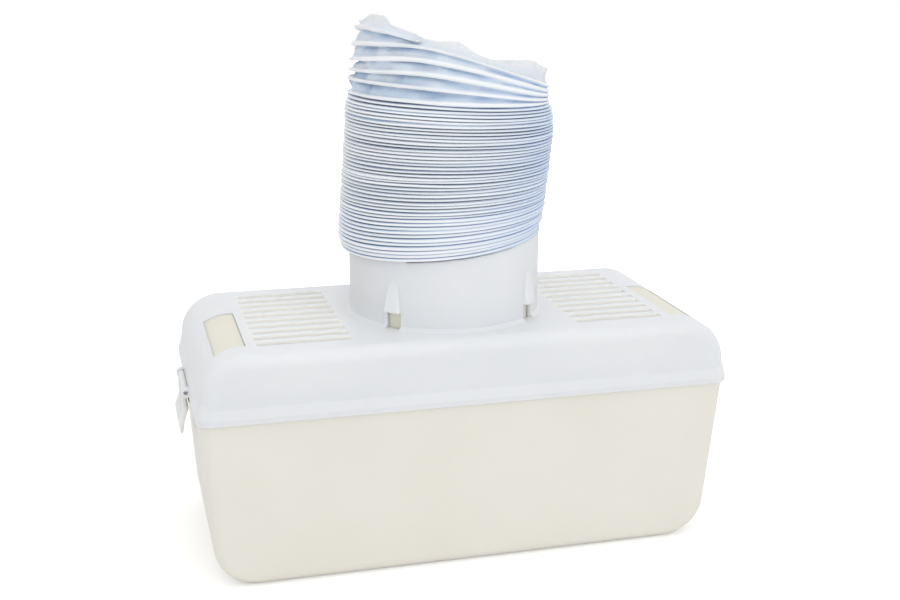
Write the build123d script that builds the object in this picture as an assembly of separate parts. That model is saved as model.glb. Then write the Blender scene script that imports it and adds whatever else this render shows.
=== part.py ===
"""Indoor condenser box with a concertina hose, for a vented tumble dryer. Millimetres, +Z up.

The origin is the middle of the tank's base. +X is the right end and -Y the front.
"""
from build123d import *
from math import atan, cos, degrees, floor, radians, sqrt, tan
import os

# Box, over the lid's lip
lip_length = 275.0
lip_width = 131.0
lip_corner_radius = 7.9         # the tank and the lid follow it inside, also along their long edges
tank_height = 92.0              # base to the rim that carries the lid
lid_rise = 33.5                 # lower edge of the lip to the flat top

# Tank moulding
tank_wall = 2.0
tank_end_draft = 3.7            # degrees
tank_side_draft = 4.4
tank_end_radius = 21.5          # along the bottom of each end
rim_clearance = 0.3             # between the tank's rim and the lid's lip
floor_rib_height = 25.0
floor_rib_thickness = 1.8

# Lid moulding
lid_wall = 2.0
lid_end_draft = 5.5
lid_side_draft = 2.3
lid_end_radius = 21.4           # shoulder at each end
lip_band_height = 3.0           # upright, as high as the recess for the tank's rim
lip_wall = 1.4                  # outside the tank's rim
lip_proud = 1.0                 # outside the lid's wall
lip_slope_height = 8.0          # above the lip's band, where it runs out into the lid's wall
lip_foot_chamfer = 0.6

# Spigot with its four hose barbs
spigot_radius = 50.0
spigot_wall = 2.0
spigot_height = 60.0
spigot_foot_chamfer = 2.0
barb_count = 4
barb_proud = 2.5
barb_height = 16.0
barb_foot_width = 8.4
barb_tip_width = 5.0
barb_window_height = 9.0

# Grilles beside the spigot
grille_gap = 8.5                # spigot to the first slot end
grille_bridge = 4.7             # last slot end to the end window
grille_margin = 8.5             # slots to the edge of the flat top
slot_width = 6.2                # at the top
slot_slope = 25.0               # degrees, the bars widen downwards
bar_width = 3.6

# End windows, open in the shoulder, and the baffle tabs that fill them
window_width = 15.5
window_length = 61.0
window_back = 15.0              # rear edge, behind the middle
window_overlap = 3.1            # how far the window reaches into the flat top
tab_clearance = 0.3
tab_recess = 0.8
tab_thickness = 2.2

# Baffle under the lid
baffle_wall = 1.6
deck_drop = 18.0                # flat top of the lid down to the deck
deck_rim_depth = 7.0
deck_clearance = 0.4
deck_corner_radius = 6.0
deck_end_gap = 14.0             # air passes up between the deck and the lid's end
collar_clearance = 0.3
collar_reach = 14.0             # above the flat top of the lid

# Clip at each end, hinged in ears on the lid's lip
clip_width = 30.0
clip_thickness = 2.0
clip_barrel_radius = 1.7
clip_web_drop = 10.5            # hinge axis to the foot of the flat web
clip_lip_drop = 16.5            # hinge axis to the finger lip
clip_lip_height = 2.0
clip_lip_out = 2.3              # finger lip outside the web
clip_lip_thickness = 2.8
clip_drop = 25.2                # hinge axis to the tip
clip_tip_thickness = 0.8
clip_tip_radius = 9.0
trunnion_radius = 1.0
trunnion_length = 2.6
hinge_offset = 1.4              # hinge axis outside the lip
hinge_rise = 2.5                # hinge axis above the lower edge of the lip
hinge_clearance = 0.05
ear_radius = 2.3
ear_thickness = 3.0
ear_clearance = 0.3
hook_drop = 8.7                 # hinge axis to the top of the hook
hook_reach = 1.0
hook_height = 3.2
hook_flat = 0.8                 # height of the hook's tip
catch_clearance = 0.3           # hook to catch, free and closed
catch_width = 20.0
catch_depth = 0.8

# Hose
hose_clearance = 0.3            # turns that grip the spigot
packed_clearance = 1.2          # turns above them, loose round the spigot
pleat_depth = 3.7               # inside to outside of the packed hose
gap_width = 4.0                 # wider gaps between groups of packed turns
gap_count = 3
loose_pleat_depth = 3.2
hose_foot_rise = 38.8           # flat top of the lid to the middle of the hose's lower edge
hose_foot_tilt = 4.0            # degrees, lower at the left
grip_height = 11.0
packed_height = 52.0
cuff_height = 9.0
loose_pleats = 2                # each stands for three of the loose turns
loose_pitch = 11.5
loose_tilt_first = 4.2          # degrees, higher at the left
loose_tilt_last = 15.6
film_thickness = 0.6
film_rise = 6.8                 # film above the middle of the last turn
film_tilt = 11.0                # degrees, top edge of the film, higher at the left

# Worked out from the sizes above
lip_bottom = tank_height - lip_band_height
lid_top = lip_bottom + lid_rise
wall_half_length = lip_length / 2 - lip_proud
wall_half_width = lip_width / 2 - lip_proud
rim_inset = lip_wall + rim_clearance
rim_half_length = lip_length / 2 - rim_inset
rim_half_width = lip_width / 2 - rim_inset
tank_corner_radius = lip_corner_radius - rim_inset
lid_corner_radius = lip_corner_radius - lip_proud
hinge_x = lip_length / 2 + hinge_offset
hinge_z = lip_bottom + hinge_rise
hose_bore = spigot_radius + hose_clearance
hose_radius = hose_bore + pleat_depth
packed_bore = spigot_radius + packed_clearance
gap_radius = packed_bore + film_thickness
hose_foot_z = lid_top + hose_foot_rise
packed_z = hose_foot_z + grip_height
cuff_z = packed_z + packed_height
loose_z = cuff_z + cuff_height
on_base = (Align.CENTER, Align.CENTER, Align.MIN)


def inset_at(rise, draft):
    return rise * tan(radians(draft))


def moulded_form(half_length, half_width, rise, end_draft, side_draft, end_radius, corner_radius, inside):
    """Drafted block on its wide open face, with large end shoulders and one rounding round each long side.

    The inside of a wall has chamfers there, wide enough to keep the wall's thickness.
    """
    top_length = half_length - inset_at(rise, end_draft)
    top_width = half_width - inset_at(rise, side_draft)
    front_view = Polygon(
        (-half_length, 0), (half_length, 0), (top_length, rise), (-top_length, rise), align=None
    )
    front_view = fillet(front_view.vertices().group_by(Axis.Y)[-1], end_radius)
    side_view = Polygon((-half_width, 0), (half_width, 0), (top_width, rise), (-top_width, rise), align=None)
    block = extrude(Plane.XZ * front_view, half_width, both=True)
    block &= extrude(Plane.YZ * side_view, half_length, both=True)
    by_depth = block.faces().sort_by(Axis.Y)
    long_sides = [by_depth[0], by_depth[-1]]
    side_edges = [edge for side in long_sides for edge in side.edges() if edge.center().Z > rise / 100]
    if inside:
        return chamfer(side_edges, (2 - sqrt(2)) * corner_radius)
    return fillet(side_edges, corner_radius)


def tank_form(inset):
    form = moulded_form(
        rim_half_length - inset,
        rim_half_width - inset,
        tank_height - inset,
        tank_end_draft,
        tank_side_draft,
        tank_end_radius - inset,
        tank_corner_radius - inset,
        inset > 0,
    )
    return Pos(0, 0, tank_height) * Rot(180, 0, 0) * form


def lid_form(inset):
    form = moulded_form(
        wall_half_length - inset,
        wall_half_width - inset,
        lid_rise - inset,
        lid_end_draft,
        lid_side_draft,
        lid_end_radius - inset,
        lid_corner_radius - inset,
        inset > 0,
    )
    return Pos(0, 0, lip_bottom) * form


def shoulder_start(half_size, draft, radius):
    """Where the flat top ends and the shoulder begins."""
    top_half = half_size - inset_at(lid_rise, draft)
    return top_half - radius * tan(radians(90 - draft) / 2)


flat_half_length = shoulder_start(wall_half_length, lid_end_draft, lid_end_radius)
flat_half_width = shoulder_start(wall_half_width, lid_side_draft, lid_corner_radius)
window_inner = flat_half_length - window_overlap


def window_block(margin):
    """Upright block through the left end window, smaller by the margin all round."""
    middle_x = -(window_inner + window_width / 2)
    middle_y = window_back - window_length / 2
    block = Box(window_width - 2 * margin, window_length - 2 * margin, lid_rise, align=on_base)
    return Pos(middle_x, middle_y, lid_top - lid_end_radius) * block


def both_ends(left_piece):
    return [left_piece, mirror(left_piece, about=Plane.YZ)]


def tube(outer, inner, height):
    return Cylinder(outer, height, align=on_base) - Cylinder(inner, height, align=on_base)


def make_catch():
    """Ledge on the left end of the tank that the clip's hook snaps under."""
    ledge_z = hinge_z - hook_drop + 2 * catch_clearance
    tip_x = hinge_x + clip_barrel_radius - clip_thickness - hook_reach - catch_clearance
    ramp = tip_x - (rim_half_length - inset_at(tank_height - ledge_z, tank_end_draft))
    root_x = rim_half_length - inset_at(tank_height - ledge_z, tank_end_draft) - tank_wall / 2
    ledge = Polygon(
        (-root_x, ledge_z),
        (-tip_x, ledge_z),
        (-tip_x, ledge_z + catch_depth),
        (-root_x, ledge_z + catch_depth + ramp),
        align=None,
    )
    return extrude(Plane.XZ * ledge, catch_width / 2, both=True)


def make_tank():
    shell = tank_form(0) - tank_form(tank_wall)
    rib = Box(floor_rib_thickness, lip_width, tank_wall + floor_rib_height, align=on_base)
    shell += rib & tank_form(tank_wall / 2)
    return shell + both_ends(make_catch())


def make_barb():
    """Ramp that the hose is pushed over, thickest at its flat foot."""
    root = spigot_radius - spigot_wall / 2
    foot_depth = spigot_wall / 2 + barb_proud
    tip_depth = spigot_wall / 2
    foot_z = lid_top + barb_window_height
    foot = Pos(root + foot_depth / 2, 0, foot_z) * Rectangle(foot_depth, barb_foot_width)
    tip = Pos(root + tip_depth / 2, 0, foot_z + barb_height) * Rectangle(tip_depth, barb_tip_width)
    return loft([foot.face(), tip.face()])


def make_spigot_blank():
    """Solid spigot with a chamfered foot on the flat top."""
    foot_radius = spigot_radius + spigot_foot_chamfer
    foot_z = lid_top - lid_wall / 2
    spigot_top = lid_top + spigot_height
    outline = Polygon(
        (0, foot_z),
        (foot_radius, foot_z),
        (foot_radius, lid_top),
        (spigot_radius, lid_top + spigot_foot_chamfer),
        (spigot_radius, spigot_top),
        (0, spigot_top),
        align=None,
    )
    return revolve(Plane.XZ * outline, Axis.Z)


def make_ear(side):
    """Bevelled hinge ear on the lip at the left end, without its hole."""
    start = side * (clip_width / 2 + ear_clearance + ear_thickness / 2)
    bevel = (2 - sqrt(2)) * ear_radius
    outline = Rectangle(ear_radius, 2 * ear_radius, align=(Align.MAX, Align.CENTER))
    outline = chamfer(outline.vertices().group_by(Axis.X)[0], bevel)
    outline += Rectangle(hinge_offset + lid_wall, 2 * ear_radius, align=(Align.MIN, Align.CENTER))
    return Pos(-hinge_x, start, hinge_z) * extrude(Plane.XZ * outline, ear_thickness / 2, both=True)


def grille_slots():
    inner = spigot_radius + grille_gap
    length = window_inner - grille_bridge - inner
    pitch = slot_width + bar_width
    count = floor((2 * (flat_half_width - grille_margin) + bar_width) / pitch)
    slot = Rot(180, 0, 0) * extrude(Rectangle(length, slot_width), 2 * lid_wall, taper=slot_slope)
    slots = []
    for index in range(count):
        across = (index - (count - 1) / 2) * pitch
        slots.append(Pos(-(inner + length / 2), across, lid_top) * slot)
    return slots


def make_lip():
    """Band round the foot of the lid that slopes into the walls above it."""
    outline = RectangleRounded(lip_length, lip_width, lip_corner_radius)
    band = extrude(outline, lip_band_height)
    band = chamfer(band.edges().group_by(Axis.Z)[0], lip_foot_chamfer)
    run_out = lip_proud + inset_at(lip_band_height + lip_slope_height, lid_end_draft)
    slope = extrude(outline, lip_slope_height, taper=degrees(atan(run_out / lip_slope_height)))
    return band + Pos(0, 0, lip_band_height) * slope


def make_lid():
    lid = lid_form(0) + Pos(0, 0, lip_bottom) * make_lip()
    lid += make_spigot_blank()
    lid += [ear for side in (-1, 1) for ear in both_ends(make_ear(side))]
    recess = RectangleRounded(lip_length - 2 * lip_wall, lip_width - 2 * lip_wall, lip_corner_radius - lip_wall)
    lid -= Pos(0, 0, lip_bottom - 1) * extrude(recess, lip_band_height + 1)
    lid -= lid_form(lid_wall)
    lid -= Pos(0, 0, lip_bottom) * Cylinder(spigot_radius - spigot_wall, lid_rise + spigot_height, align=on_base)
    barb_angles = [360 / barb_count * (index + 0.5) for index in range(barb_count)]
    lid += [Rot(0, 0, angle) * make_barb() for angle in barb_angles]
    barb_window = Pos(spigot_radius, 0, lid_top) * Box(
        4 * spigot_wall + 2 * spigot_foot_chamfer, barb_foot_width, barb_window_height, align=on_base
    )
    lid -= [Rot(0, 0, angle) * barb_window for angle in barb_angles]
    lid -= [slot for left in grille_slots() for slot in both_ends(left)]
    lid -= both_ends(window_block(0))
    notch = Cylinder(
        clip_barrel_radius + ear_clearance, clip_width + 2 * ear_clearance, rotation=(90, 0, 0)
    )
    pin_hole = Cylinder(trunnion_radius + hinge_clearance, lip_width / 2, rotation=(90, 0, 0))
    hinge_cuts = Pos(-hinge_x, 0, hinge_z) * (notch + pin_hole)
    return lid - both_ends(hinge_cuts)


def make_tab():
    """Head that fills the left end window, on its web from the deck."""
    inner_skin = tab_recess + tab_thickness
    head = window_block(tab_clearance) & (lid_form(tab_recess) - lid_form(inner_skin))
    web_length = window_length - 2 * tab_clearance
    web_x = -(deck_half_length - baffle_wall / 2)
    web = Box(baffle_wall, web_length, lid_rise, align=on_base)
    web = Pos(web_x, window_back - window_length / 2, deck_z - baffle_wall / 2) * web
    return head + (web & lid_form(tab_recess + tab_thickness / 2))


deck_z = lid_top - deck_drop
deck_half_length = wall_half_length - inset_at(deck_z - lip_bottom, lid_end_draft) - lid_wall - deck_end_gap
deck_half_width = wall_half_width - inset_at(deck_z - lip_bottom, lid_side_draft) - lid_wall - deck_clearance


def make_baffle():
    outline = RectangleRounded(2 * deck_half_length, 2 * deck_half_width, deck_corner_radius)
    inside = RectangleRounded(
        2 * (deck_half_length - baffle_wall),
        2 * (deck_half_width - baffle_wall),
        deck_corner_radius - baffle_wall,
    )
    baffle = Pos(0, 0, deck_z - deck_rim_depth) * extrude(outline, deck_rim_depth)
    baffle -= Pos(0, 0, deck_z - deck_rim_depth) * extrude(inside, deck_rim_depth - baffle_wall)
    collar_radius = spigot_radius - spigot_wall - collar_clearance
    collar_height = lid_top + collar_reach - deck_z + baffle_wall
    collar_z = deck_z - baffle_wall
    baffle += Pos(0, 0, collar_z) * Cylinder(collar_radius, collar_height, align=on_base)
    baffle -= Pos(0, 0, collar_z) * Cylinder(collar_radius - baffle_wall, collar_height, align=on_base)
    return baffle + both_ends(make_tab())


def make_clip():
    """Left clip: barrel, flat web with a hook inside, and a thickened finger lip that tapers to its tip."""
    outer = clip_barrel_radius
    inner = outer - clip_thickness
    lip_out = outer + clip_lip_out
    lip_in = lip_out - clip_lip_thickness
    tip_out = (lip_out + outer) / 2
    profile = Polygon(
        (-outer, 0),
        (-outer, -clip_web_drop),
        (-lip_out, -clip_lip_drop),
        (-lip_out, -clip_lip_drop - clip_lip_height),
        (-tip_out, -clip_drop),
        (-tip_out + clip_tip_thickness, -clip_drop),
        (-lip_in, -clip_lip_drop),
        (-inner, -hook_drop - hook_height),
        (-inner + hook_reach, -hook_drop - hook_flat),
        (-inner + hook_reach, -hook_drop),
        (-inner, -hook_drop),
        (-inner, 0),
        align=None,
    )
    web = extrude(Plane.XZ * profile, clip_width / 2, both=True)
    side_view = Pos(0, -clip_drop / 2) * Rectangle(clip_width, clip_drop)
    side_view = fillet(side_view.vertices().group_by(Axis.Y)[0], clip_tip_radius)
    web &= extrude(Plane.YZ * side_view, 4 * clip_thickness, both=True)
    barrel = Cylinder(clip_barrel_radius, clip_width, rotation=(90, 0, 0))
    trunnions = Cylinder(trunnion_radius, clip_width + 2 * trunnion_length, rotation=(90, 0, 0))
    return Pos(-hinge_x, 0, hinge_z) * (web + barrel + trunnions)


def turn_section(height, tilt, radius):
    """One turn of the hose, seen as this circle from above, on a plane that rises to the left by the tilt."""
    return Pos(0, 0, height) * Rot(0, tilt, 0) * Ellipse(radius / cos(radians(tilt)), radius)


def make_hose_lower_turns():
    sections = [
        turn_section(hose_foot_z, -hose_foot_tilt, hose_radius),
        turn_section(packed_z, 0, hose_radius),
    ]
    bore = Pos(0, 0, lid_top) * Cylinder(hose_bore, packed_z, align=on_base)
    return loft(sections, ruled=True) - bore


def make_hose_packed_turns():
    """Packed turns in groups, with a wider gap between one group and the next."""
    turns = tube(hose_radius, packed_bore, packed_height)
    gap = Polygon(
        (hose_radius, -gap_width / 2), (hose_radius, gap_width / 2), (gap_radius, 0), align=None
    )
    for index in range(gap_count):
        middle = packed_height * (index + 1) / (gap_count + 1)
        turns -= Pos(0, 0, middle) * revolve(Plane.XZ * gap, Axis.Z)
    return Pos(0, 0, packed_z) * turns


def make_hose_free_end():
    """Packed cuff, then the loose pleats that fan open to the left, and the film above them."""
    valley_radius = hose_bore + film_thickness
    ridge_radius = hose_bore + loose_pleat_depth
    sections = [
        turn_section(cuff_z, 0, gap_radius),
        turn_section(cuff_z + gap_width / 2, 0, hose_radius),
        turn_section(loose_z, loose_tilt_first, hose_radius),
    ]
    for pleat in range(1, loose_pleats + 1):
        tilt = loose_tilt_first + (loose_tilt_last - loose_tilt_first) * pleat / loose_pleats
        sections.append(turn_section(loose_z + (pleat - 0.5) * loose_pitch, tilt, valley_radius))
        sections.append(turn_section(loose_z + pleat * loose_pitch, tilt, ridge_radius))
    top_z = loose_z + loose_pleats * loose_pitch + film_rise
    sections.append(turn_section(top_z, film_tilt, valley_radius))
    bore = Pos(0, 0, lid_top) * Cylinder(hose_bore, 2 * top_z, align=on_base)
    return loft(sections, ruled=True) - bore


def main():
    left_clip = make_clip()
    pieces = {
        "tank": make_tank(),
        "lid": make_lid(),
        "baffle": make_baffle(),
        "clip_left": left_clip,
        "clip_right": mirror(left_clip, about=Plane.YZ),
        "hose_lower_turns": make_hose_lower_turns(),
        "hose_packed_turns": make_hose_packed_turns(),
        "hose_free_end": make_hose_free_end(),
    }
    os.makedirs("parts", exist_ok=True)
    for name, piece in pieces.items():
        export_step(piece, f"parts/{name}.step")


main()
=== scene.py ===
import math
import bpy
import numpy as np
from mathutils import Matrix, Vector, noise


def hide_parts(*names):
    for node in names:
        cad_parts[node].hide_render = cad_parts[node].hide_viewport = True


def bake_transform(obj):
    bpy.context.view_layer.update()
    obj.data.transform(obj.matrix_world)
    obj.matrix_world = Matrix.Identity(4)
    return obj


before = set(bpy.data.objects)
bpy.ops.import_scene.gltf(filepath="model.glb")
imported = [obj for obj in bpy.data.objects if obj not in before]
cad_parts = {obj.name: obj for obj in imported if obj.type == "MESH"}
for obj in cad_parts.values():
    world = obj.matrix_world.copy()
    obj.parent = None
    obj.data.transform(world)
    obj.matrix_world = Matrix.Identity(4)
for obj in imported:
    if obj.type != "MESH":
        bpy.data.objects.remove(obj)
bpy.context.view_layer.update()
scene = bpy.context.scene
scene.view_settings.view_transform = "Standard"
print("frame loaded")


def toLinear(hexCode):
    parts = [int(hexCode[i:i + 2], 16) / 255 for i in (1, 3, 5)]
    return tuple(p / 12.92 if p <= 0.04045 else ((p + 0.055) / 1.055) ** 2.4 for p in parts) + (1.0,)


def addNode(tree, kind, values=None, links=None, **settings):
    node = tree.nodes.new(kind)
    for name, value in settings.items():
        setattr(node, name, value)
    for socket, value in (values or {}).items():
        node.inputs[socket].default_value = value
    for socket, source in (links or {}).items():
        tree.links.new(source, node.inputs[socket])
    return node


def newMaterial(name):
    material = bpy.data.materials.new(name)
    material.use_nodes = True
    material.node_tree.nodes.clear()
    return material, material.node_tree


def perMetre(millimetres):
    return 1000 / millimetres  # noise scale whose features are this many mm across


# paints the grille slot walls a warm cream: painted light standing in for the glow from the milky box below,
# masked by object position
def paintSlotGlow(tree, place, colour, slots):
    split = addNode(tree, "ShaderNodeSeparateXYZ", links={"Vector": place})
    outward = addNode(tree, "ShaderNodeMath", operation="ABSOLUTE", links={0: split.outputs["X"]})
    limits = (
        (outward.outputs["Value"], slots["middle"], slots["reach"]),
        (split.outputs["Y"], 0.0, slots["halfWidth"]),
        (split.outputs["Z"], slots["height"], slots["half"]),
    )
    tests = [
        addNode(tree, "ShaderNodeMath", {1: middle, 2: reach}, {0: value}, operation="COMPARE")
        for value, middle, reach in limits
    ]
    along, across, within = [test.outputs["Value"] for test in tests]
    flat = addNode(tree, "ShaderNodeMath", operation="MULTIPLY", links={0: along, 1: across})
    glowMask = addNode(tree, "ShaderNodeMath", operation="MULTIPLY", links={0: flat.outputs["Value"], 1: within})
    glowed = addNode(tree, "ShaderNodeMix", {7: toLinear(slots["tone"])},
                    {0: glowMask.outputs["Value"], 6: colour}, data_type="RGBA")
    return glowed.outputs[2]


def mouldedPlastic(name, look):
    material, tree = newMaterial(name)
    place = addNode(tree, "ShaderNodeTexCoord").outputs["Object"]
    cloud = addNode(tree, "ShaderNodeTexNoise", {"Scale": perMetre(look["cloudMm"]), "Detail": 3.0},
                    {"Vector": place})
    tone = addNode(tree, "ShaderNodeMix", {6: toLinear(look["deep"]), 7: toLinear(look["pale"])},
                   {0: cloud.outputs["Fac"]}, data_type="RGBA")
    grain = addNode(tree, "ShaderNodeTexNoise", {"Scale": perMetre(look["grainMm"]), "Detail": 2.0},
                    {"Vector": place})
    sink = addNode(tree, "ShaderNodeTexNoise", {"Scale": perMetre(look["sinkMm"]), "Detail": 1.0},
                   {"Vector": place})
    slow = addNode(tree, "ShaderNodeBump", {"Strength": 1.0, "Distance": look["sinkDepth"]},
                   {"Height": sink.outputs["Fac"]})
    bump = addNode(tree, "ShaderNodeBump", {"Strength": 1.0, "Distance": look["grainDepth"]},
                   {"Height": grain.outputs["Fac"], "Normal": slow.outputs["Normal"]})
    gloss = addNode(tree, "ShaderNodeMapRange", {"To Min": look["glossy"], "To Max": look["dull"]},
                    {"Value": cloud.outputs["Fac"]})
    colour = tone.outputs[2]
    if "slots" in look:
        colour = paintSlotGlow(tree, place, colour, look["slots"])
    shader = addNode(tree, "ShaderNodeBsdfPrincipled", {
        "IOR": 1.49, "Subsurface Weight": look["milky"], "Subsurface Radius": (1.0, 0.92, 0.78),
        "Subsurface Scale": look["milkyDepth"],
    }, {"Base Color": colour, "Roughness": gloss.outputs["Result"], "Normal": bump.outputs["Normal"]})
    addNode(tree, "ShaderNodeOutputMaterial", links={"Surface": shader.outputs["BSDF"]})
    return material


# milky moulding: cream tone drifting in slow clouds, satin, light let into the wall
# its grain is drawn coarser than the real skin's, so that it shows
tankLook = {
    "deep": "#e8e4d9", "pale": "#f0ede3", "cloudMm": 60, "grainMm": 0.5, "grainDepth": 0.00001,
    "sinkMm": 45, "sinkDepth": 0.00012, "glossy": 0.36, "dull": 0.48, "milky": 0.4, "milkyDepth": 0.004,
}
naturalPolypropylene = mouldedPlastic("natural polypropylene, injection moulded", tankLook)

# baffle of the same plastic: a shade deeper, because its heads are thicker
baffleLook = dict(tankLook, deep="#e4e0d0", pale="#ebe8d9")
thickPolypropylene = mouldedPlastic("natural polypropylene, thicker moulding", baffleLook)

# opaque white moulding: cooler than the tank, even satin skin; the slot walls are painted a warm cream glow
# that stands in for light coming up from the cream box below
lidLook = {
    "deep": "#e6e8ea", "pale": "#eef0f2", "cloudMm": 50, "grainMm": 0.5, "grainDepth": 0.00001,
    "sinkMm": 40, "sinkDepth": 0.0001, "glossy": 0.34, "dull": 0.46, "milky": 0.7, "milkyDepth": 0.0045,
    "slots": {
        "middle": 0.0823, "reach": 0.0245, "halfWidth": 0.0476, "height": 0.12148, "half": 0.00094,
        # painted glow colour of the slot walls
        "tone": "#fffcf2",
    },
}
whitePolypropylene = mouldedPlastic("white polypropylene, injection moulded", lidLook)

# thin clip moulding: greyer than the tank, and light goes deep into it
clipLook = {
    "deep": "#e6e9e6", "pale": "#f0f2f0", "cloudMm": 14, "grainMm": 0.5, "grainDepth": 0.00001,
    "sinkMm": 12, "sinkDepth": 0.00005, "glossy": 0.3, "dull": 0.42, "milky": 1.0, "milkyDepth": 0.01,
}
clipPolypropylene = mouldedPlastic("translucent polypropylene, injection moulded", clipLook)

mouldings = {
    "tank": naturalPolypropylene, "baffle": thickPolypropylene, "lid": whitePolypropylene,
    "clip_left": clipPolypropylene, "clip_right": clipPolypropylene,
}
for nodeName, material in mouldings.items():
    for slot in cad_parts[nodeName].material_slots:
        slot.material = material
print("mouldings dressed")

# thin film over a wire helix: white hoops, painted blue-grey shade in the folds running through a pale blue
# that is partly the film's own tint and partly painted shade, fine wrinkles, creases where it hangs loose
filmLook = {
    "ridge": "#f7f9fb", "film": "#c3d8f3", "filmSpot": 0.5, "gap": "#384150",
    "wrinkleMm": 3.2, "wrinkleDepth": 0.00008, "creaseMm": 9, "creaseDepth": 0.0014,
    "glossy": 0.28, "dull": 0.5, "packedMilky": 0.0, "thinMilky": 0.6, "milkyDepth": 0.0012,
}


def foldedFilm(name, look):
    material, tree = newMaterial(name)
    place = addNode(tree, "ShaderNodeTexCoord").outputs["Object"]
    paintedFoldShade = addNode(tree, "ShaderNodeAttribute", attribute_name="paintedFoldShade").outputs["Fac"]
    thin = addNode(tree, "ShaderNodeAttribute", attribute_name="thin").outputs["Fac"]
    # ramp of painted shade: white at the hoop, pale blue film, dark blue-grey shade deep in the fold
    tone = addNode(tree, "ShaderNodeValToRGB", links={"Fac": paintedFoldShade})
    stops = tone.color_ramp.elements
    stops[0].color = toLinear(look["ridge"])
    stops[-1].color = toLinear(look["gap"])
    stops.new(look["filmSpot"]).color = toLinear(look["film"])
    wrinkle = addNode(tree, "ShaderNodeTexNoise", {"Scale": perMetre(look["wrinkleMm"]), "Detail": 4.0},
                      {"Vector": place})
    crease = addNode(tree, "ShaderNodeTexNoise", {
        "Scale": perMetre(look["creaseMm"]), "Detail": 3.0, "Distortion": 1.2,
    }, {"Vector": place})
    creased = addNode(tree, "ShaderNodeBump", {"Distance": look["creaseDepth"]},
                      {"Height": crease.outputs["Fac"], "Strength": thin})
    bump = addNode(tree, "ShaderNodeBump", {"Strength": 0.7, "Distance": look["wrinkleDepth"]},
                   {"Height": wrinkle.outputs["Fac"], "Normal": creased.outputs["Normal"]})
    gloss = addNode(tree, "ShaderNodeMapRange", {"To Min": look["glossy"], "To Max": look["dull"]},
                    {"Value": wrinkle.outputs["Fac"]})
    milky = addNode(tree, "ShaderNodeMapRange", {"To Min": look["packedMilky"], "To Max": look["thinMilky"]},
                    {"Value": thin})
    shader = addNode(tree, "ShaderNodeBsdfPrincipled", {
        "IOR": 1.46, "Subsurface Radius": (0.85, 0.95, 1.0), "Subsurface Scale": look["milkyDepth"],
    }, {
        "Base Color": tone.outputs["Color"], "Subsurface Weight": milky.outputs["Result"],
        "Roughness": gloss.outputs["Result"], "Normal": bump.outputs["Normal"],
    })
    addNode(tree, "ShaderNodeOutputMaterial", links={"Surface": shader.outputs["BSDF"]})
    return material


# inside of the film: pale and even, no dark gaps
insideLook = {
    "deep": "#eef3fb", "pale": "#f7f9fe", "cloudMm": 12, "grainMm": 1.5, "grainDepth": 0.00002,
    "sinkMm": 5, "sinkDepth": 0.0002, "glossy": 0.35, "dull": 0.5, "milky": 1.0, "milkyDepth": 0.003,
}

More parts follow.
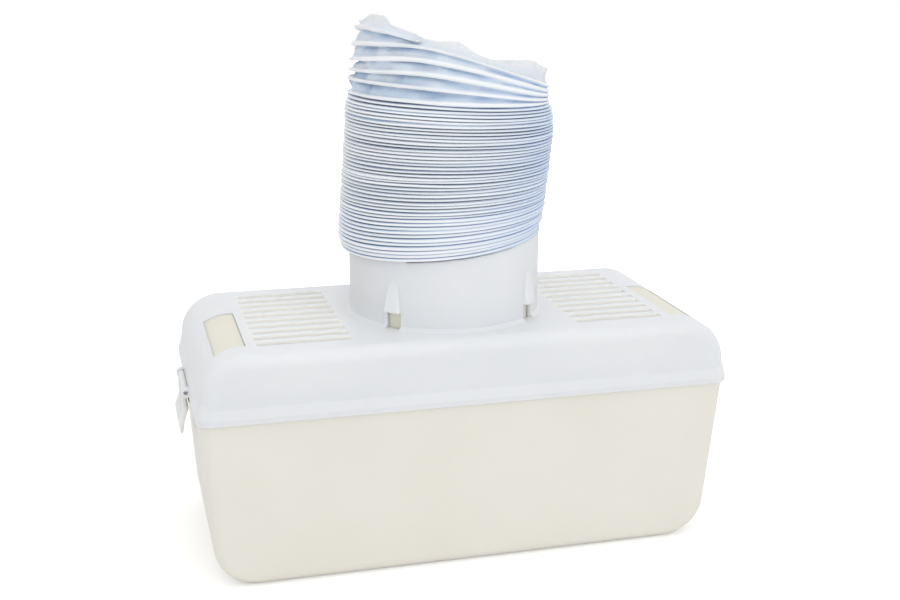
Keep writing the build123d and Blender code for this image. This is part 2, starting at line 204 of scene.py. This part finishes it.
hose = {
    "steps": 112, "pitch": 0.002, "turns": 49, "filmTurns": 2, "cuts": 7, "crest": 0.5,  # hoop at mid turn
    "seamAngle": math.radians(236.8), "seamNudge": 1e-6, "startRadius": 0.05, "mergeGap": 0.00001,
    "filmThickness": 0.0002,
    # rows of one turn: their heights, how far out they stand and how much painted shade they carry
    "tightPhases": (0, 0.03, 0.12, 0.28, 0.5, 0.72, 0.88, 0.97, 1),
    "openPhases": (0, 0.035, 0.19, 0.32, 0.5, 0.68, 0.81, 0.965, 1),
    "loosePhases": (0, 0.15, 0.28, 0.33, 0.46, 0.6, 0.66, 0.83, 1),
    "packedBulges": (0, 0.2, 0.78, 0.96, 1, 0.96, 0.78, 0.2, 0),
    "looseBulges": (0.4, 0.24, 0.04, 0.84, 1, 0.9, 0.54, 0.48, 0.4),
    "packedShades": (1, 0.6, 0.08, 0, 0, 0, 0.08, 0.6, 1),
    # where the turns are loose, and how far each packed turn opens from left to right
    "looseFrom": 43.9, "looseOver": 0.7, "fanReach": 1.3,
    "sideKnots": (0, 0.37, 1), "openSides": (1.05, 0.85, 0.85), "openRange": (0.2, 1.25),
    "wideFrom": 0.3, "wideOver": 0.7,
    # hoop radius by turn, and the depth of the folds
    "radiusKnots": (1, 2, 5, 35, 40, 43, 45, 46.4, 47.4, 48.4, 49.4),
    "ridges": (0.0514, 0.0523, 0.0536, 0.0542, 0.0538, 0.0525, 0.0517, 0.0515, 0.0511, 0.0505, 0.0497),
    "gripTurns": 13, "gripFade": (13, 16), "gripDepth": 0.0022, "gripRadius": 0.0504,  # spigot ends at 13
    "packedDepth": 0.006, "looseDepth": 0.006, "looseRight": 0.25,
    # foot: cut level, pressed together and tilted
    "footSlope": 0.02, "footSink": 0.5, "footFade": 6, "footStill": 3,
    "footTurns": 12, "footTilt": (0.0012, 0.0017, -0.0002),
    # gaps that stay open between packed turns
    "gapTurns": (17, 25, 32, 38), "gapOpen": 0.11, "gapEdge": 0.05, "gapSpread": 2.5, "gapSides": 1.2,
    "gapFade": 0.15, "gapShade": 0.25,
    # height by turn at the left and the right, lifted at the front and low at the back
    "leftKnots": (0, 44.37, 45.37, 46.37, 47.37, 48.37, 49.37, 50.5),
    "leftHeights": (0.1575, 0.2372, 0.2445, 0.2491, 0.2540, 0.2620, 0.2707, 0.2735),
    "rightKnots": (0, 44.8, 45.8, 46.8, 47.8, 48.8, 49.8, 50.5),
    "rightHeights": (0.1651, 0.2320, 0.2334, 0.2348, 0.2367, 0.2401, 0.2425, 0.2440),
    "liftKnots": (44.5, 45.5, 46.5, 47.5, 48.5, 49.3, 50.5),
    "frontLifts": (0.0003, 0.0016, 0.0048, 0.0066, 0.006, 0, 0),
    "liftMiddle": 0.025, "liftReach": 0.115, "liftReachRight": 0.16,
    "backMiddle": 0.53, "backReach": 0.16, "backDrop": 0.003, "backFade": (46, 2), "rightStill": 0.8,
    # sideways lean by turn
    "leanKnots": (0, 3, 8, 14, 20, 26, 33, 46, 47.4, 48.4, 49.4),
    "leans": (-0.0025, -0.0023, -0.0014, -0.0004, 0.0006, 0.0015, 0.0026, 0.0024, 0.003, 0.0038, 0.0045),
    # torn film above the last hoop: knots in turns from the seam, rises in mm
    "filmKnots": (0, 0.022, 0.062, 0.092, 0.12, 0.148, 0.183, 0.209, 0.275, 0.301, 0.36,
                  0.45, 0.65, 0.75, 0.801, 0.84, 0.868, 0.89, 0.925, 0.94, 1),
    "filmRises": (3.5, 3.2, 6, 3.4, 3.6, 6, 9.5, 10.4, 9.4, 8, 4,
                  1.5, 1.5, 2, 1.5, 2.5, 4.5, 6.5, 7.4, 3.4, 3.3),
    "tuckKnots": (0, 0.12, 0.18, 0.3, 0.36, 1), "tucks": (0.003, 0.003, 0.0005, 0.0005, 0.003, 0.003),
    "hemOver": 0.1, "hemStep": 0.0012,
    # painted shade in the folds: lines between packed turns, stronger at the sides where the light falls
    # less, sunk film between loose ones, and the torn film
    "lineLeast": 0.3, "lineSides": (1.6, 1.0, 1.4), "lineFade": 0.3, "gapPale": 0.35, "rightShade": 0.36,
    "shadePatchKnots": (45, 49), "shadePatchTints": (1.1, 0.8),
    "sunkShade": 0.7, "sunkRight": 0.1, "sunkMost": 0.62, "hemShade": 0.3, "hemPale": 0.22,
    # wander along the wire: waves per turn, seed, size
    "wireWanders": {
        "openness": (1.37, 17.0, 1.1), "ridge": (2.3, 3.0, 0.001), "height": (1.37, 71.0, 0.0004),
        "sprung": (2.3, 29.0, 0.0006), "fineSprung": (7.3, 53.0, 0.0007),
    },
    "wireDrift": 0.7,
    # wander over the skin: waves round, waves per turn, seed, size
    "skinWanders": {
        "crumple": (5.0, 1.3, 11.0, 0.0065), "fineCrumple": (11.0, 1.1, 61.0, 0.003),
        "height": (1.4, 0.8, 7.0, 0.0003), "sway": (3.0, 0.35, 23.0, 0.003),
        "ragged": (2.6, 0.0, 41.0, 0.25), "shadePatch": (4.0, 1.7, 91.0, 0.6),
    },
}


def windHose(shape):
    pitch = shape["pitch"]
    bpy.ops.object.select_all(action="DESELECT")
    bpy.ops.mesh.primitive_plane_add(size=pitch, rotation=(math.pi / 2, 0, 0))
    piece = bpy.context.object
    piece.name = "hoseFilm"
    bpy.ops.object.transform_apply(location=True, rotation=True, scale=True)
    bpy.ops.object.mode_set(mode="EDIT")
    bpy.ops.mesh.select_all(action="DESELECT")
    bpy.ops.object.mode_set(mode="OBJECT")
    for vertex in piece.data.vertices:
        vertex.select = vertex.co.x < 0
    bpy.ops.object.mode_set(mode="EDIT")
    bpy.ops.mesh.delete(type="VERT")  # one upright edge is left
    bpy.ops.mesh.select_all(action="SELECT")
    bpy.ops.mesh.subdivide(number_cuts=shape["cuts"])
    bpy.ops.object.mode_set(mode="OBJECT")
    seamX = math.cos(shape["seamAngle"]) * shape["startRadius"]
    seamY = math.sin(shape["seamAngle"]) * shape["startRadius"]
    phase = piece.data.attributes.new("phase", "FLOAT", "POINT")  # nought at the edge's foot, one at its head
    for vertex in piece.data.vertices:
        phase.data[vertex.index].value = vertex.co.z / pitch + 0.5
        vertex.co = (seamX, seamY, vertex.co.z + pitch / 2)
    screw = piece.modifiers.new("turns", "SCREW")
    screw.axis = "Z"
    screw.screw_offset = pitch
    screw.iterations = shape["turns"] + shape["filmTurns"]
    screw.steps = shape["steps"]
    screw.render_steps = shape["steps"]
    bpy.ops.object.modifier_apply(modifier="turns")
    bpy.ops.object.mode_set(mode="EDIT")
    bpy.ops.mesh.select_all(action="SELECT")
    bpy.ops.mesh.remove_doubles(threshold=shape["mergeGap"])
    bpy.ops.mesh.normals_make_consistent(inside=False)
    bpy.ops.object.mode_set(mode="OBJECT")
    return piece


def ramp(value, start, over):
    return np.clip((value - start) / over, 0, 1)  # climbs from nought to one


def shapeHose(piece, shape):
    mesh = piece.data
    count = len(mesh.vertices)
    spots = np.empty(count * 3)
    mesh.vertices.foreach_get("co", spots)
    spots = spots.reshape(-1, 3)
    part = np.empty(count)
    mesh.attributes["phase"].data.foreach_get("value", part)
    rows = np.linspace(0, 1, shape["cuts"] + 2)
    wound = spots[:, 2] / shape["pitch"]  # turns wound so far, the way up the strip included
    angle = np.arctan2(spots[:, 1], spots[:, 0])
    side = (np.cos(angle) + 1) / 2  # nought at the left, one at the right
    round01 = np.mod((angle - shape["seamAngle"]) / (2 * math.pi) + shape["seamNudge"], 1)
    edge = shape["turns"] + round01 - shape["crest"]  # crest of the last hoop

    def byRow(name):
        return np.interp(part, rows, shape[name])

    def alongWire(name):
        perTurn, seed, size = shape["wireWanders"][name]
        return size * np.array([
            noise.noise(Vector((t * perTurn + seed, seed * shape["wireDrift"], 0)))
            for t in np.minimum(wound, edge)
        ])

    def overSkin(name):
        around, perTurn, seed, size = shape["skinWanders"][name]
        return size * np.array([
            noise.noise(Vector((math.cos(a) * around + seed, math.sin(a) * around, t * perTurn)))
            for a, t in zip(angle, wound)
        ])

    # where each row lies on its turn
    loose = ramp(wound, shape["looseFrom"], shape["looseOver"])
    fanned = loose * np.clip(shape["fanReach"] * (1 - side), 0, 1)  # the loose turns lie close at the right
    openness = np.interp(side, shape["sideKnots"], shape["openSides"]) + alongWire("openness")
    openness = np.clip(openness, *shape["openRange"])
    wide = ramp(openness, shape["wideFrom"], shape["wideOver"])
    phase = byRow("tightPhases") * (1 - wide) + byRow("openPhases") * wide
    phase = phase * (1 - fanned) + byRow("loosePhases") * fanned
    bulge = byRow("packedBulges") * (1 - fanned) + byRow("looseBulges") * fanned
    turn = wound - part + phase
    film = ramp(turn, edge, shape["filmTurns"] + shape["crest"])  # nought at the last hoop, one at the tear

    # how far out it stands
    ridge = np.interp(turn, shape["radiusKnots"], shape["ridges"]) + alongWire("ridge")
    packedDepth = np.interp(turn, shape["gripFade"], (shape["gripDepth"], shape["packedDepth"]))
    looseDepth = shape["looseDepth"] * (shape["looseRight"] + (1 - shape["looseRight"]) * (1 - side))
    depth = packedDepth * openness * (1 - loose) + looseDepth * loose
    crumple = overSkin("crumple") + overSkin("fineCrumple")
    radius = ridge - depth * (1 - bulge) + loose * (1 - bulge) * (1 - side) * crumple
    hemmed = ramp(film, 0, shape["hemOver"])  # the film steps in behind the last hoop
    tuck = np.interp(round01, shape["tuckKnots"], shape["tucks"])
    filmRadius = ridge - shape["hemStep"] * hemmed - tuck * np.sqrt(film) + overSkin("sway") * film
    radius = np.where(film > 0, filmRadius, radius)
    lean = np.interp(turn, shape["leanKnots"], shape["leans"])
    gripped = np.maximum(radius, shape["gripRadius"] - lean * np.cos(angle))  # rests on the spigot
    radius = np.where(turn < shape["gripTurns"], gripped, radius)

    # how the turns settle on each other
    settled = np.where(turn > 1, turn, 1 + shape["footSlope"] * (turn - 1))  # cut level across the first turn
    settled = settled - shape["footSink"] * (1 - ramp(settled, 1, shape["footFade"]))
    closed = ramp(np.abs(round01 - shape["backMiddle"]), 0, shape["gapFade"])  # each gap closes at the back
    inGap = np.zeros(count)
    for gapTurn in shape["gapTurns"]:
        away = turn - gapTurn - round01 - (round01 < shape["backMiddle"])
        pushed = shape["gapOpen"] * np.tanh(away / shape["gapEdge"])
        pushed = pushed * np.exp(-np.abs(away) / shape["gapSpread"])
        settled = settled + pushed * (shape["gapSides"] - side) * closed
        inGap = np.maximum(inGap, np.exp(-(away / shape["gapShade"]) ** 2) * closed)
    settled = np.minimum(settled, edge)

    # how high it lies
    left = np.interp(settled, shape["leftKnots"], shape["leftHeights"])
    right = np.interp(settled, shape["rightKnots"], shape["rightHeights"])
    wander = (overSkin("height") + alongWire("height")) * ramp(turn, 1, shape["footStill"])
    height = left * (1 - side) + right * side + wander
    tiltX, tiltY, drop = shape["footTilt"]
    tilt = tiltX * np.cos(angle) + tiltY * np.sin(angle) + drop
    height = height + (1 - ramp(settled, 0, shape["footTurns"])) * tilt
    toFront = np.mod(round01 - shape["liftMiddle"] + 0.5, 1) - 0.5  # part of a turn, either way
    toFront = toFront / np.where(toFront > 0, shape["liftReachRight"], shape["liftReach"])
    height = height + np.interp(settled, shape["liftKnots"], shape["frontLifts"]) * np.exp(-toFront ** 2)
    toBack = np.abs(round01 - shape["backMiddle"]) / shape["backReach"]
    height = height - shape["backDrop"] * np.exp(-toBack ** 2) * ramp(settled, *shape["backFade"])
    sprung = (alongWire("sprung") + alongWire("fineSprung")) * loose * (1 - shape["rightStill"] * side)
    height = height + sprung * (film == 0)
    rise = np.interp(round01, shape["filmKnots"], shape["filmRises"]) / 1000
    height = height + film * rise * (1 + overSkin("ragged"))

    spots[:, 0] = radius * np.cos(angle) + lean
    spots[:, 1] = radius * np.sin(angle)
    spots[:, 2] = height
    mesh.vertices.foreach_set("co", spots.ravel())

    # what the film's material reads: the painted shade of the folds, and where the film is thin
    # painted shade lines between packed turns: darkest at the foot of each fold, stronger where a turn opens
    # wider and at the sides (lineSides) by how the light falls, fading in over the first turn and paler where
    # a gap stays open
    paintedLines = byRow("packedShades") * np.clip(openness, shape["lineLeast"], 1)
    paintedLines = paintedLines * np.interp(side, shape["sideKnots"], shape["lineSides"])
    paintedLines = paintedLines * ramp(wound, 1, shape["lineFade"])
    paintedLines = np.clip(paintedLines, 0, 1) * (1 - shape["gapPale"] * inGap)
    # a painted blue-grey shade growing towards the right side of the hose
    paintedLines = np.maximum(paintedLines, shape["rightShade"] * side ** 2)
    shadePatches = 1 + overSkin("shadePatch")  # painted shade, deeper in random patches
    shadePatches = shadePatches * np.interp(turn, shape["shadePatchKnots"], shape["shadePatchTints"])  # less towards the top
    # painted shade on the film sunk between loose hoops: darker the deeper it lies, a little less at the
    # right
    sunkShading = (1 - bulge) * (shape["sunkShade"] - shape["sunkRight"] * side) * shadePatches
    paintedShade = paintedLines * (1 - loose) + np.clip(sunkShading, 0, shape["sunkMost"]) * loose
    # on the torn film: painted shade just behind the last hoop, fading towards the tear
    paintedFoldShade = np.where(film > 0, hemmed * (shape["hemShade"] - shape["hemPale"] * film), paintedShade)
    thin = np.where(film > 0, 1, fanned * (1 - bulge ** 2))
    for name, values in (("paintedFoldShade", paintedFoldShade), ("thin", thin)):
        mesh.attributes.new(name, "FLOAT", "POINT").data.foreach_set("value", values)
    mesh.update()
    bpy.ops.object.shade_smooth()
    skin = piece.modifiers.new("film", "SOLIDIFY")
    skin.thickness = shape["filmThickness"]
    skin.offset = -1  # the wall grows inwards
    skin.material_offset = 1  # the inside of the film has its own material
    bpy.ops.object.modifier_apply(modifier="film")


hosePiece = windHose(hose)
hosePiece.data.materials.append(foldedFilm("white hose film on wire helix, wound", filmLook))
hosePiece.data.materials.append(mouldedPlastic("white hose film, inside", insideLook))
shapeHose(hosePiece, hose)
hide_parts("hose_lower_turns", "hose_packed_turns", "hose_free_end")
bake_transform(hosePiece)
print("hose wound", len(hosePiece.data.vertices), "points")

# white paper: lit by the lamps near the object, plain white to the camera further out
floorLook = {
    "size": 6.0, "drop": 0.0002, "white": "#f6f6f6", "fleck": "#fafafa", "fleckMm": 30,
    "lift": 0.25, "near": 0.2, "far": 0.7,
}


def makeFloor(look):
    bpy.ops.object.select_all(action="DESELECT")
    bpy.ops.mesh.primitive_plane_add(size=look["size"], location=(0, 0, -look["drop"]))
    floor = bpy.context.object
    floor.name = "studioFloor"
    material, tree = newMaterial("white paper sweep")
    ray = addNode(tree, "ShaderNodeLightPath")
    spread = addNode(tree, "ShaderNodeTexCoord").outputs["Object"]
    fleck = addNode(tree, "ShaderNodeTexNoise", {"Scale": perMetre(look["fleckMm"])}, {"Vector": spread})
    tone = addNode(tree, "ShaderNodeMix", {6: toLinear(look["white"]), 7: toLinear(look["fleck"])},
                   {0: fleck.outputs["Fac"]}, data_type="RGBA")
    far = addNode(tree, "ShaderNodeVectorMath", operation="LENGTH", links={0: spread})
    fade = addNode(tree, "ShaderNodeMapRange", {
        "From Min": look["near"], "From Max": look["far"], "To Min": look["lift"], "To Max": 1.0,
    }, {"Value": far.outputs["Value"]}, interpolation_type="SMOOTHSTEP")
    glow = addNode(tree, "ShaderNodeMath", operation="MULTIPLY",
                   links={0: ray.outputs["Is Camera Ray"], 1: fade.outputs["Result"]})
    shader = addNode(tree, "ShaderNodeBsdfPrincipled", {
        "Roughness": 0.9, "Specular IOR Level": 0.0, "Emission Color": (1, 1, 1, 1),
    }, {"Base Color": tone.outputs[2], "Emission Strength": glow.outputs["Value"]})
    addNode(tree, "ShaderNodeOutputMaterial", links={"Surface": shader.outputs["BSDF"]})
    floor.data.materials.append(material)


makeFloor(floorLook)

skyLook = {"fill": 0.8}


def makeSky(look):
    world = bpy.data.worlds.new("studio white")
    scene.world = world
    world.use_nodes = True
    tree = world.node_tree
    tree.nodes.clear()
    ray = addNode(tree, "ShaderNodeLightPath")
    seen = addNode(tree, "ShaderNodeMath", operation="MAXIMUM",
                   links={0: ray.outputs["Is Camera Ray"], 1: ray.outputs["Is Glossy Ray"]})
    clear = addNode(tree, "ShaderNodeMath", operation="MAXIMUM",
                    links={0: seen.outputs["Value"], 1: ray.outputs["Is Transmission Ray"]})
    strength = addNode(tree, "ShaderNodeMapRange", {"To Min": look["fill"], "To Max": 1.0},
                       {"Value": clear.outputs["Value"]})
    white = addNode(tree, "ShaderNodeBackground", {"Color": (1, 1, 1, 1)},
                    {"Strength": strength.outputs["Result"]})
    addNode(tree, "ShaderNodeOutputWorld", links={"Surface": white.outputs["Background"]})


makeSky(skyLook)

lamps = (
    {"name": "frontRightSoftbox", "place": (0.2, -1.2, 0.9), "aim": (0, 0, 0.12), "size": 1.2, "power": 3.4},
    {"name": "overheadSoftbox", "place": (-0.1, -0.2, 1.5), "aim": (0, 0, 0.1), "size": 1.3, "power": 3.0},
)
for lamp in lamps:
    light = bpy.data.lights.new(lamp["name"], "AREA")
    light.shape = "SQUARE"
    light.size = lamp["size"]
    light.energy = lamp["power"]
    holder = bpy.data.objects.new(lamp["name"], light)
    scene.collection.objects.link(holder)
    holder.location = lamp["place"]
    holder.rotation_euler = (Vector(lamp["aim"]) - holder.location).to_track_quat("-Z", "Y").to_euler()

shot = {
    "turn": -0.2625, "rise": 0.2698, "roll": 0.0029, "distance": 0.70628,
    "target": (0.00355, 0, 0.12547), "lens": 52.7, "sensorWidth": 36, "clipStart": 0.01,
}


def makeCamera(view):
    cameraData = bpy.data.cameras.new("photoCamera")
    cameraData.lens = view["lens"]
    cameraData.sensor_width = view["sensorWidth"]
    cameraData.clip_start = view["clipStart"]
    camera = bpy.data.objects.new("photoCamera", cameraData)
    scene.collection.objects.link(camera)
    turned = (Matrix.Rotation(view["turn"], 4, "Z") @ Matrix.Rotation(math.pi / 2 - view["rise"], 4, "X")
              @ Matrix.Rotation(view["roll"], 4, "Z"))
    stand = Vector(view["target"]) + turned.col[2].to_3d() * view["distance"]
    camera.matrix_world = Matrix.Translation(stand) @ turned
    scene.camera = camera


makeCamera(shot)
print("light and camera set")
